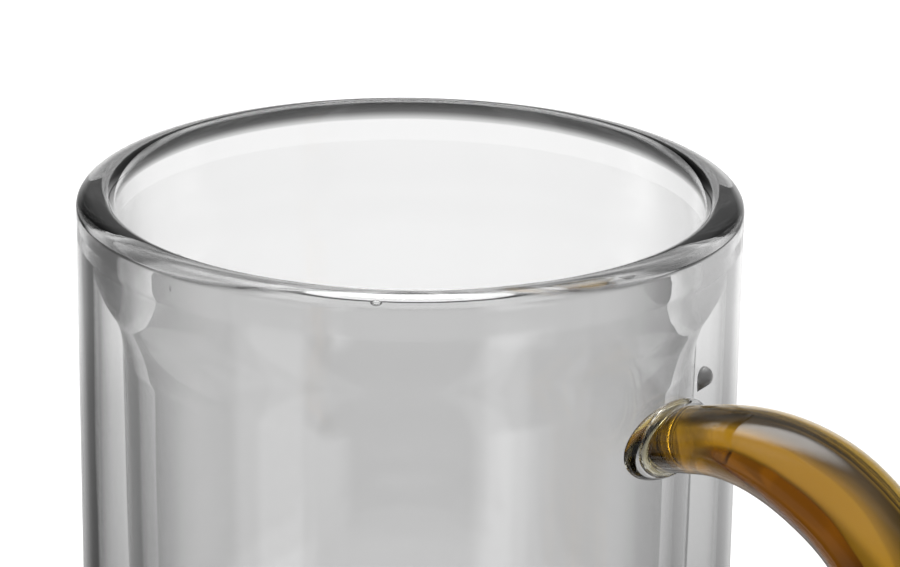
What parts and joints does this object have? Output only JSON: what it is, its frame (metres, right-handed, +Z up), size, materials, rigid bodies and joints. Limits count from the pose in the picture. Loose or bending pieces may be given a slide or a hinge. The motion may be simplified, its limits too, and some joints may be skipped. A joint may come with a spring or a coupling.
{
  "type": "double walled glass cup",
  "caption": "Straight-sided drinking cup of clear glass with an inner and an outer wall, a solid rounded rim and an amber glass loop handle for hot drinks.",
  "frame": {"origin": "centre of the cup's foot, on the table", "axes": "+Z up along the cup's axis, +X from the axis towards the handle"},
  "size_m": [0.1218, 0.08, 0.09],
  "materials": {
    "clear_glass": "polished",
    "amber_glass": "polished"
  },
  "bodies": {
    "root": {"outer_shell": "clear_glass", "inner_shell": "clear_glass", "rim": "clear_glass", "handle": "amber_glass", "upper_joint": "clear_glass", "lower_joint": "clear_glass", "vent_seal": "clear_glass"}
  },
  "joints": []
}
